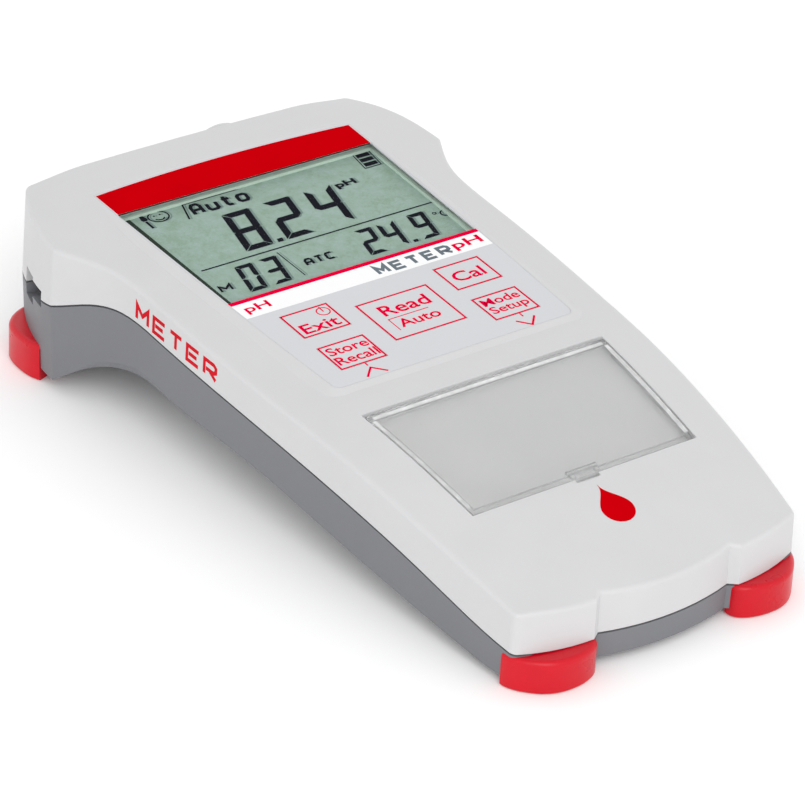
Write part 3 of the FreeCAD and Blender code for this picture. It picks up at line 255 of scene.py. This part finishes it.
class Print:
    """Ink on a surface: closed thin solids gathered into one mesh."""

    def __init__(self, level, thick=0.02, place=on_deck):
        self.low, self.high, self.place = level - INK_SINK * MM, level + thick * MM, place
        self.verts, self.faces = [], []

    def prism(self, loop):
        start, n = len(self.verts), len(loop)
        self.verts += [self.place(x, y, level) for level in (self.low, self.high) for x, y in loop]
        self.faces.append([start + i for i in reversed(range(n))])
        self.faces.append([start + n + i for i in range(n)])
        for i in range(n):
            j = (i + 1) % n
            self.faces.append([start + i, start + j, start + n + j, start + n + i])

    def line(self, points, width, closed=False):
        left, right = ribbon(points, width, closed)
        if not closed:
            self.prism([tuple(p) for p in right] + [tuple(p) for p in reversed(left)])
            return
        n, start = len(left), len(self.verts)
        for level in (self.low, self.high):
            for side in (left, right):
                self.verts += [self.place(p.x, p.y, level) for p in side]
        for i in range(n):
            j = (i + 1) % n
            ll, lr, hl, hr = start, start + n, start + 2 * n, start + 3 * n
            self.faces += [[hl + i, hr + i, hr + j, hl + j], [ll + i, ll + j, lr + j, lr + i],
                           [lr + i, lr + j, hr + j, hr + i], [ll + i, hl + i, hl + j, ll + j]]

    def words(self, text, low_left, size, bold=0.0):
        """Text whose lower left corner and width and height are given, in millimetres."""
        curve = bpy.data.curves.new("words", "FONT")
        curve.body, curve.size, curve.resolution_u, curve.offset = text, 1.0, 3, bold
        holder = bpy.data.objects.new("words", curve)
        bpy.context.scene.collection.objects.link(holder)
        bpy.context.view_layer.update()
        flattened = holder.evaluated_get(bpy.context.evaluated_depsgraph_get())
        mesh = bpy.data.meshes.new_from_object(flattened)
        bpy.data.objects.remove(holder)
        shape = bmesh.new()
        shape.from_mesh(mesh)
        bmesh.ops.remove_doubles(shape, verts=shape.verts, dist=1e-5)
        flat = np.array([v.co[:2] for v in shape.verts])
        low, high = flat.min(0), flat.max(0)
        scale = [size[0] / (high[0] - low[0]), size[1] / (high[1] - low[1])]
        grown = bmesh.ops.extrude_face_region(shape, geom=list(shape.faces))
        upper = {v for v in grown["geom"] if isinstance(v, bmesh.types.BMVert)}
        start = len(self.verts)
        shape.verts.index_update()
        for v in shape.verts:
            x, y = (v.co.x - low[0]) * scale[0], (v.co.y - low[1]) * scale[1]
            level = self.high if v in upper else self.low
            self.verts.append(self.place(low_left[0] + x, low_left[1] + y, level))
        self.faces += [[start + v.index for v in f.verts] for f in shape.faces]
        shape.free()

    def strokes(self, text, low_left, size, width, lean=0.0):
        """Text drawn as lines of one width, in a box given by its lower left corner and size."""
        step = size[0] / len(text)
        for place, letter in enumerate(text):
            for path in LETTERS[letter]:
                points = [(px * (step * LETTER_SHARE - width) + width / 2, py * (size[1] - width) + width / 2)
                          for px, py in path]
                self.line([(low_left[0] + place * step + px + lean * py, low_left[1] + py)
                           for px, py in points], width)

    def copy_to(self, level, shift, thick=0.01):
        """The same ink again on another level, shifted."""
        other = Print(level, thick)
        move = ACROSS * (shift[0] * MM) + AHEAD * (shift[1] * MM)
        middle = (self.low + self.high) / 2
        for v in self.verts:
            level = other.high if v.dot(UP) > middle else other.low
            other.verts.append(v + move + UP * (level - v.dot(UP)))
        other.faces = [list(f) for f in self.faces]
        return other

    def make(self, name, material, body, slot):
        """The gathered solids as a piece that rides on a body."""
        mesh = bpy.data.meshes.new(name)
        mesh.from_pydata([tuple(v) for v in self.verts], [], self.faces)
        shape = bmesh.new()
        shape.from_mesh(mesh)
        bmesh.ops.recalc_face_normals(shape, faces=shape.faces)
        shape.to_mesh(mesh)
        shape.free()
        mesh.materials.append(material)
        piece = bpy.data.objects.new(name, mesh)
        bpy.context.scene.collection.objects.link(piece)
        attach(piece, body)


def edge_x(y):
    """Half width of the label at a place along the deck, in millimetres."""
    far, mid, near = (49.12, 29.35), (5.81, 28.35), (-26.3, 26.7)
    low, high = (near, mid) if y < mid[0] else (mid, far)
    return low[1] + (high[1] - low[1]) * (y - low[0]) / (high[0] - low[0])


VIEW_FAR, VIEW_NEAR, LINE_NEAR = 41.2, 5.81, 4.75
FILM_THICK = 0.3 * MM
FAR_EDGE, FAR_BOW, FAR_HALF, BOW_STEPS = 48.75, 1.3, 29.15, 24
BAND_MARGIN = 0.15            # the red band stays this far inside the label's sides

red = Print(DECK_TOP)
bow = [(-FAR_HALF + 2 * FAR_HALF * i / BOW_STEPS, FAR_EDGE + FAR_BOW * (1 - (2 * i / BOW_STEPS - 1) ** 2))
       for i in range(BOW_STEPS + 1)]
band_half = edge_x(VIEW_FAR) - BAND_MARGIN
red.prism([(-band_half, VIEW_FAR), (band_half, VIEW_FAR)] + list(reversed(bow)))
red.make("label_band_red", PRINT_RED, "housing", "label_film")

line = Print(DECK_TOP)
line.prism([(-28.1, LINE_NEAR), (28.1, LINE_NEAR), (28.2, VIEW_NEAR), (-28.2, VIEW_NEAR)])
line.words("pH", (-26.6, 0.9), (5.4, 2.9), bold=0.02)
line.words("pH", (20.4, 0.75), (6.6, 3.3), bold=0.02)
line.make("label_print_crimson", PRINT_CRIMSON, "housing", "label_film")

band = Print(DECK_TOP, thick=0.012)
band.prism([(-27.9, 0.0), (27.9, 0.0), (28.1, LINE_NEAR), (-28.1, LINE_NEAR)])
band.make("label_band_white", PRINT_WHITE, "housing", "label_film")

name = Print(DECK_TOP)
name.strokes("METER", (2.4, 0.75), (18.0, 3.1), 0.75)
name.make("label_print_grey", PRINT_GREY, "housing", "label_film")

# Each key's middle across, near and far edges and width, as its film patch has them.
KEYS = {"key_exit": (-17.2, -10.23, -2.21, 10.3), "key_store": (-17.3, -21.8, -13.98, 10.1),
        "key_read": (0.0, -18.55, -5.66, 16.0), "key_cal": (17.3, -10.23, -2.21, 10.3),
        "key_mode": (17.3, -21.8, -13.98, 10.1)}
INK = 0.36                    # width of the line round each key
BOLD = 0.014


def legend(key):
    """The frame round a key, with the key's middle and its near and far edges."""
    x, low, high, width = KEYS[key]
    mark = Print(DECK_TOP)
    half = width / 2 - INK / 2
    mark.line([(x - half, low + INK / 2), (x + half, low + INK / 2), (x + half, high - INK / 2),
              (x - half, high - INK / 2)], INK, closed=True)
    return mark, x, low, high


mark, x, low, high = legend("key_exit")
mark.words("Exit", (x - 4.0, low + 0.9), (8.0, 3.0), bold=BOLD)
ring = [(x + 3.1 + 1.3 * math.cos(a), high - 2.1 + 1.2 * math.sin(a))
        for a in np.linspace(0, 2 * math.pi, 32)[:-1]]
mark.line(ring, 0.24, closed=True)
mark.line([(x + 3.1, high - 0.55), (x + 3.1, high - 2.2)], 0.26)
mark.make("legend_exit", PRINT_CRIMSON, "key_exit", "key_film")

mark, x, low, high = legend("key_read")
mark.words("Read", (x - 5.0, low + 7.3), (10.6, 3.3), bold=BOLD)
mark.words("Auto", (x - 4.3, low + 2.9), (9.0, 2.6), bold=BOLD)
mark.line([(x - 5.2, low + 2.4), (x - 5.2, low + 6.3), (x + 3.8, low + 6.3)], 0.2)
mark.make("legend_read", PRINT_CRIMSON, "key_read", "key_film")

mark, x, low, high = legend("key_cal")
mark.words("Cal", (x - 3.5, low + 2.2), (6.9, 3.2), bold=BOLD)
mark.make("legend_cal", PRINT_CRIMSON, "key_cal", "key_film")

mark, x, low, high = legend("key_store")
mark.words("Store", (x - 4.2, low + 4.4), (8.6, 2.5), bold=BOLD)
mark.words("Recall", (x - 4.4, low + 1.2), (9.0, 2.5), bold=BOLD)
mark.make("legend_store", PRINT_CRIMSON, "key_store", "key_film")

mark, x, low, high = legend("key_mode")
mark.words("Mode", (x - 4.1, low + 4.5), (8.2, 2.3), bold=BOLD)
mark.words("Setup", (x - 4.1, low + 1.1), (8.4, 2.9), bold=BOLD)
mark.make("legend_mode", PRINT_CRIMSON, "key_mode", "key_film")

arrows = Print(DECK_TOP)
arrows.line([(-19.5, -25.8), (-17.25, -23.5), (-15.0, -25.8)], 0.42)
arrows.line([(-17.3, -21.9), (-17.3, -22.8)], 0.3)
arrows.line([(15.3, -23.7), (17.4, -26.0), (19.5, -23.7)], 0.42)
arrows.line([(17.5, -21.9), (17.5, -23.0)], 0.3)
arrows.make("label_arrows", PRINT_CRIMSON, "housing", "label_film")


# ---------------------------------------------------------------- display

DIGITS = {"0": "abcdef", "2": "abged", "3": "abgcd", "4": "fgbc", "8": "abcdefg", "9": "abcdfg"}
LEAN = 0.225                  # how far the figures lean per unit of height


def digit(mark, character, x, y, width, height, stroke, gap):
    """A leaning seven-segment figure whose lower left corner is x, y."""
    half, s, c = height / 2, stroke, stroke * 0.45
    bars = {
        "a": [(gap, height), (width - gap, height), (width - gap - c, height - s), (gap + s, height - s)],
        "d": [(gap, 0), (width - gap, 0), (width - gap - s, s), (gap + s, s)],
        "g": [(gap * 2, half), (gap * 2 + s / 2, half + s / 2), (width - gap * 2 - s / 2, half + s / 2),
              (width - gap * 2, half), (width - gap * 2 - s / 2, half - s / 2),
              (gap * 2 + s / 2, half - s / 2)],
        "f": [(0, height - gap), (s, height - gap - s), (s, half + gap + c), (s / 2, half + gap),
              (0, half + gap)],
        "e": [(0, gap), (s, gap + s), (s, half - gap - c), (s / 2, half - gap), (0, half - gap)],
    }
    bars["b"] = [(width - px, py) for px, py in bars["f"]]
    bars["c"] = [(width - px, py) for px, py in bars["e"]]
    for name in DIGITS[character]:
        mark.prism([(x + px + LEAN * py, y + py) for px, py in bars[name]])


# The large reading, the count and the temperature, with the two decimal points.
INK_HEIGHT = 0.03 * MM        # the figures float this far over the panel
BIG_LOW, SMALL_LOW = 21.6, 9.6
shown = Print(PANEL_TOP + INK_HEIGHT)
for character, x in (("8", -13.1), ("2", -3.8), ("4", 5.6)):
    digit(shown, character, x, BIG_LOW, width=6.1, height=12.9, stroke=1.5, gap=0.14)
for character, x in (("0", -20.3), ("3", -14.9), ("2", 6.9), ("4", 12.0), ("9", 19.1)):
    digit(shown, character, x, SMALL_LOW, width=3.8, height=8.5, stroke=1.0, gap=0.11)
shown.prism([(-5.9, 21.6), (-4.7, 21.6), (-4.4, 22.7), (-5.6, 22.7)])
shown.prism([(16.9, 9.6), (17.9, 9.6), (18.1, 10.4), (17.1, 10.4)])

# Rules and words.
shown.line([(-24.4, 19.9), (29.0, 19.9)], 0.3)
shown.line([(-16.2, 36.2), (-14.6, 41.2), (-2.4, 41.2)], 0.35)
shown.strokes("Auto", (-14.6, 36.7), (13.6, 3.9), 0.75, lean=0.13)
shown.words("pH", (15.4, 31.9), (4.6, 2.5), bold=0.03)
shown.strokes("ATC", (-5.9, 12.1), (7.0, 2.4), 0.5, lean=0.15)
shown.strokes("M", (-25.2, 11.8), (3.4, 2.2), 0.45, lean=0.15)
shown.words("°C", (26.0, 14.4), (3.4, 2.4))
shown.line([(-8.3, 18.7), (-8.1, 9.8)], 0.2)


def arc(middle, radii, start=0.0, end=2 * math.pi, count=40):
    """Points on an ellipse from one angle to another, both included."""
    return [(middle[0] + radii[0] * math.cos(a), middle[1] + radii[1] * math.sin(a))
            for a in np.linspace(start, end, count)]


# The sensor symbol: a face, and a probe beside it.
shown.line(arc((-20.9, 39.7), (2.1, 1.75))[:-1], 0.3, closed=True)
shown.line(arc((-20.9, 39.5), (1.1, 0.95), -2.7, -0.5, 9), 0.3)
for eye in (-21.6, -20.3):
    shown.prism(arc((eye, 40.2), (0.22, 0.2), count=9)[:-1])
shown.prism([(-24.2, 41.9), (-23.7, 41.9), (-23.2, 39.9), (-23.6, 39.4), (-24.4, 39.4), (-24.6, 39.9)])
shown.line([(-24.0, 39.2), (-24.0, 36.6)], 0.5)

# The battery symbol, with three leaning bars.
shown.line([(24.4, 36.1), (28.2, 36.1), (28.9, 41.4), (25.1, 41.4)], 0.22, closed=True)
shown.prism([(26.1, 41.4), (28.0, 41.4), (28.05, 42.0), (26.2, 42.0)])
for low in (36.6, 38.25, 39.9):
    shift = 0.13 * (low - 36.1)
    shown.prism([(24.85 + shift, low), (27.8 + shift, low),
                 (27.95 + shift, low + 1.2), (25.0 + shift, low + 1.2)])

# The faint copy of the figures is their painted shadow on the panel, showing the display's depth, and the
# dark edges round it are painted shade along the window's left and far edges.
shadow = shown.copy_to(PANEL_TOP, (0.5, -0.1))
# painted shade: a dark strip on the panel along the window's left edge
left_edge_shade = Print(PANEL_TOP + INK_HEIGHT)
left_edge_shade.prism([(-28.9, VIEW_NEAR - 1), (-25.6, VIEW_NEAR - 1),
              (-26.4, VIEW_FAR + 1), (-29.4, VIEW_FAR + 1)])
left_edge_shade.make("display_left_painted_shade", EDGE_PAINTED_SHADE, "housing", "bezel_green")
# painted shade: a dark hairline under the film along the window's far edge
far_edge_shade = Print(DECK_TOP - FILM_THICK, thick=FILM_THICK / MM - 0.01)
SHADE_HALF, SHADE_NEAR, SHADE_FAR = 28.95, VIEW_FAR - 0.06, VIEW_FAR - 0.01
far_edge_shade.prism([(-SHADE_HALF, SHADE_NEAR), (SHADE_HALF, SHADE_NEAR), (SHADE_HALF, SHADE_FAR), (-SHADE_HALF, SHADE_FAR)])
far_edge_shade.make("display_far_painted_shade", EDGE_PAINTED_SHADE, "housing", "bezel_green")
shown.make("display_segments", SEGMENT, "housing", "lcd_glass")
shadow.make("display_segment_painted_shadows", SEGMENT_PAINTED_SHADOW, "housing", "lcd_glass")


# ---------------------------------------------------------------- marks and frosting on curved surfaces

def surface(node):
    """A node's mesh, ready for casting rays at it."""
    mesh = NODES[node].data
    return BVHTree.FromPolygons([v.co for v in mesh.vertices], [p.vertices for p in mesh.polygons])


SKIN_SINK, SKIN_THICK = 0.01, 0.03
RAY_HEIGHT = 0.1              # rays start this far up, in metres, over the whole object
DOWN = Vector((0, 0, -1))


def skin(name, rows, node, material, body, slot):
    """A thin closed sheet over a node's upper surface, from rows of x, y points in metres."""
    tree = surface(node)
    low, high = [], []
    for row in rows:
        for x, y in row:
            hit, normal, _, _ = tree.ray_cast(Vector((x, y, RAY_HEIGHT)), DOWN)
            if hit is None:
                raise ValueError(f"{name}: no surface at {x / MM:.2f}, {y / MM:.2f}")
            low.append(hit - normal * SKIN_SINK * MM)
            high.append(hit + normal * SKIN_THICK * MM)
    wide, count = len(rows[0]), len(low)
    quads = [(r * wide + c, r * wide + c + 1, (r + 1) * wide + c + 1, (r + 1) * wide + c)
             for r in range(len(rows) - 1) for c in range(wide - 1)]
    last = len(rows) - 1
    rim = ([(0, c) for c in range(wide)] + [(r, wide - 1) for r in range(1, last + 1)]
           + [(last, c) for c in range(wide - 2, -1, -1)] + [(r, 0) for r in range(last - 1, 0, -1)])
    rim = [r * wide + c for r, c in rim]
    sheet = Print(0)
    sheet.verts = low + high
    sheet.faces = [list(q) for q in quads] + [[i + count for i in q] for q in quads]
    sheet.faces += [[a, b, b + count, a + count] for a, b in zip(rim, rim[1:] + rim[:1])]
    sheet.make(name, material, body, slot)


def drop_mark():
    """A plain red drop on the nose."""
    middle, tall, wide = (0.4 * MM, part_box("note_cover")[0][1] - 7.2 * MM), 9.0 * MM, 6.4 * MM
    widest = 0.34                 # where along its height the drop is widest
    tip_half = 0.04 * MM
    rows = []
    for t in np.linspace(0.004, 0.999, 28):
        if t < widest:
            share = math.sqrt(max(0.0, 1 - ((t - widest) / widest) ** 2))
        else:
            share = math.cos((t - widest) / (1 - widest) * math.pi) / 2 + 0.5
        half = max(wide / 2 * share, tip_half)
        rows.append([(middle[0] + u * half, middle[1] + (t - 0.5) * tall) for u in np.linspace(-1, 1, 9)])
    skin("nose_mark_drop", rows, "top_shell", PRINT_RED, "housing", "shell_white")


def cover_frost():
    """Frosted strips along the far edge and the two sides of the note cover."""
    tree = surface("note_cover")
    verts = np.array([v.co for v in NODES["note_cover"].data.vertices])
    tab_half, step = 8 * MM, 0.05 * MM
    near, far = verts[np.abs(verts[:, 0]) > tab_half][:, 1].min(), verts[:, 1].max()
    strip, inset, corner = 0.75 * MM, 0.35 * MM, 1.8 * MM

    def half(y):
        """Half the cover's width at y, less the inset, found by stepping in from outside."""
        x = verts[:, 0].max()
        while tree.ray_cast(Vector((x, y, RAY_HEIGHT)), DOWN)[0] is None:
            x -= step
        return x - inset

    back = np.linspace(far - 1.5 * MM, far - inset - 0.4 * MM, 3)
    back_half = half(back[-1]) - corner
    skin("cover_frost_far", [[(u * back_half, y) for u in np.linspace(-1, 1, 41)] for y in back],
         "note_cover", FROST, "note_cover", "clear_cover")
    for name, side in (("cover_frost_left", -1), ("cover_frost_right", 1)):
        skin(name, [[(side * (half(y) - deep), y) for deep in (0, strip)]
                    for y in np.linspace(near + corner, far - corner, 29)],
             "note_cover", FROST, "note_cover", "clear_cover")


def side_word():
    """The word for the instrument on the left wall, running towards the nose."""
    tree = surface("top_shell")
    start = (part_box("top_shell")[1][1] - 42.3 * MM, 23.4 * MM)
    outside, slope = -0.08, 0.042    # where rays start, and how far the line of letters falls per unit

    def on_wall(x, y, level):
        origin = Vector((outside, start[0] - x * MM, start[1] + y * MM - slope * x * MM))
        hit, normal, _, _ = tree.ray_cast(origin, Vector((1, 0, 0)))
        return hit + normal * level

    word = Print(0.0, place=on_wall)
    word.strokes("METER", (0.0, 0.0), (27.0, 3.7), 0.8)
    word.make("side_word", PRINT_SIDE, "housing", "shell_white")


drop_mark()
cover_frost()
side_word()


# ---------------------------------------------------------------- floor, light and camera

FLOOR_DROP = -0.05 * MM       # the floor stays clear of the bumpers
STRENGTH_LEVEL, STRENGTH_OVERHEAD = 1.32, 0.82
CAMERA_PLACE = (-0.400355, -0.515726, 0.392271)
# Degrees: the way from the object to the camera, and its turn about that way.
CAMERA_AZIMUTH, CAMERA_ELEVATION, CAMERA_ROLL = -127.8522, 30.4022, 3.2138
LENS, SENSOR = 183.34, 36.0   # millimetres


def floor():
    """A plain white sheet just under the object."""
    size = 6.0
    mesh = bpy.data.meshes.new("floor")
    corners = [(-size, -size, 0), (size, -size, 0), (size, size, 0), (-size, size, 0)]
    mesh.from_pydata(corners, [], [(0, 1, 2, 3)])
    paper = bpy.data.materials.new("floor_white")
    paper.use_nodes = True
    shader = paper.node_tree.nodes["Principled BSDF"]
    shader.inputs["Base Color"].default_value = (0.97, 0.97, 0.97, 1)
    shader.inputs["Roughness"].default_value = 0.9
    shader.inputs["Specular IOR Level"].default_value = 0.1
    mesh.materials.append(paper)
    piece = bpy.data.objects.new("floor", mesh)
    bpy.context.scene.collection.objects.link(piece)
    piece.location.z = FLOOR_DROP


def sky():
    """Even white light, a little stronger low down than overhead."""
    world = bpy.data.worlds.new("studio")
    bpy.context.scene.world = world
    world.use_nodes = True
    tree = world.node_tree
    back = tree.nodes["Background"]
    place = tree.nodes.new("ShaderNodeTexCoord")
    split = tree.nodes.new("ShaderNodeSeparateXYZ")
    tree.links.new(place.outputs["Generated"], split.inputs["Vector"])
    ramp = tree.nodes.new("ShaderNodeMapRange")
    ramp.inputs["From Min"].default_value = 0.0
    ramp.inputs["From Max"].default_value = 1.0
    ramp.inputs["To Min"].default_value = STRENGTH_LEVEL
    ramp.inputs["To Max"].default_value = STRENGTH_OVERHEAD
    tree.links.new(split.outputs["Z"], ramp.inputs["Value"])
    back.inputs["Color"].default_value = (1, 1, 1, 1)
    tree.links.new(ramp.outputs["Result"], back.inputs["Strength"])


def soft_light(name, place, target, size, power):
    light = bpy.data.lights.new(name, "AREA")
    light.shape, light.size, light.energy = "DISK", size, power
    lamp = bpy.data.objects.new(name, light)
    bpy.context.scene.collection.objects.link(lamp)
    lamp.location = place
    lamp.rotation_euler = (Vector(target) - Vector(place)).to_track_quat("-Z", "Y").to_euler()


def camera():
    lens = bpy.data.cameras.new("camera")
    lens.sensor_width, lens.lens = SENSOR, LENS
    lens.clip_start, lens.clip_end = 0.02, 50.0
    holder = bpy.data.objects.new("camera", lens)
    bpy.context.scene.collection.objects.link(holder)
    azimuth, elevation, roll = map(math.radians, (CAMERA_AZIMUTH, CAMERA_ELEVATION, CAMERA_ROLL))
    back = Vector((math.cos(elevation) * math.cos(azimuth), math.cos(elevation) * math.sin(azimuth),
                   math.sin(elevation)))
    level = Vector((-math.sin(azimuth), math.cos(azimuth), 0))
    right = level * math.cos(roll) + back.cross(level) * math.sin(roll)
    turned = Matrix((right, back.cross(right), back)).transposed().to_4x4()
    holder.matrix_world = Matrix.Translation(CAMERA_PLACE) @ turned
    bpy.context.scene.camera = holder


floor()
sky()
soft_light("key_light", (-0.6, -1.2, 0.95), (0, 0, 0), 1.2, 9.0)
camera()
